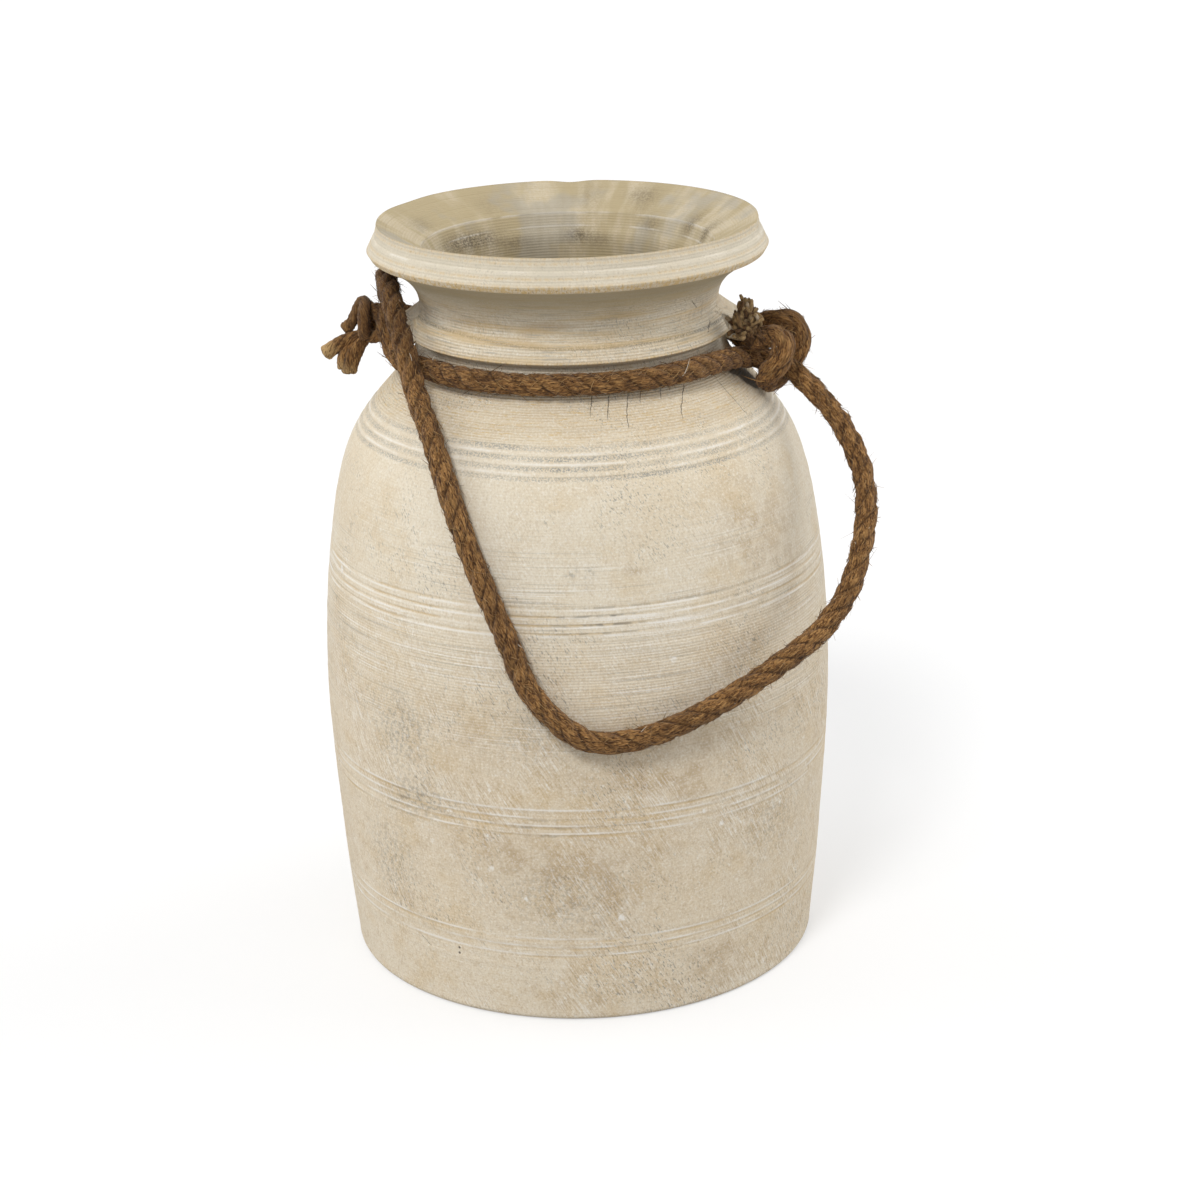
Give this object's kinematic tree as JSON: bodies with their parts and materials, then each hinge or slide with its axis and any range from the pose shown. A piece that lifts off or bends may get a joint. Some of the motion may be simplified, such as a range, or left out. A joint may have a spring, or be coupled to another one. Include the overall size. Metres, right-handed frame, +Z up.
{
  "type": "wooden pot with rope handle",
  "caption": "Turned wooden storage pot with a barrel body, grooved shoulder, narrow neck, flared rim and a rope carrying loop hitched round its neck.",
  "frame": {"origin": "middle of the flat base", "axes": "+Z up along the turning axis, the two ears on X, the carrying loop hangs on -Y"},
  "size_m": [0.3085, 0.3003, 0.4196],
  "materials": {
    "wood": "bleached, dry, hand-turned",
    "rope": "hairy three-strand plant fibre"
  },
  "bodies": {
    "pot": {"pot": "wood", "left_knot": "rope", "neck_rope": "rope", "handle_right_end": "rope", "left_riser": "rope", "back_rope": "rope", "right_knot": "rope", "left_tail_upper": "rope", "left_tail_lower": "rope", "right_tail": "rope"},
    "handle": {"handle_rope": "rope"}
  },
  "joints": [
    {"name": "handle_lift", "type": "hinge", "parent": "pot", "child": "handle", "pos_m": [0.1305, -0.0255, 0.3286], "axis": [-0.9813, -0.1608, 0.106], "range_deg": [0, 80], "deforming": ["left_riser", "handle_right_end"]}
  ]
}
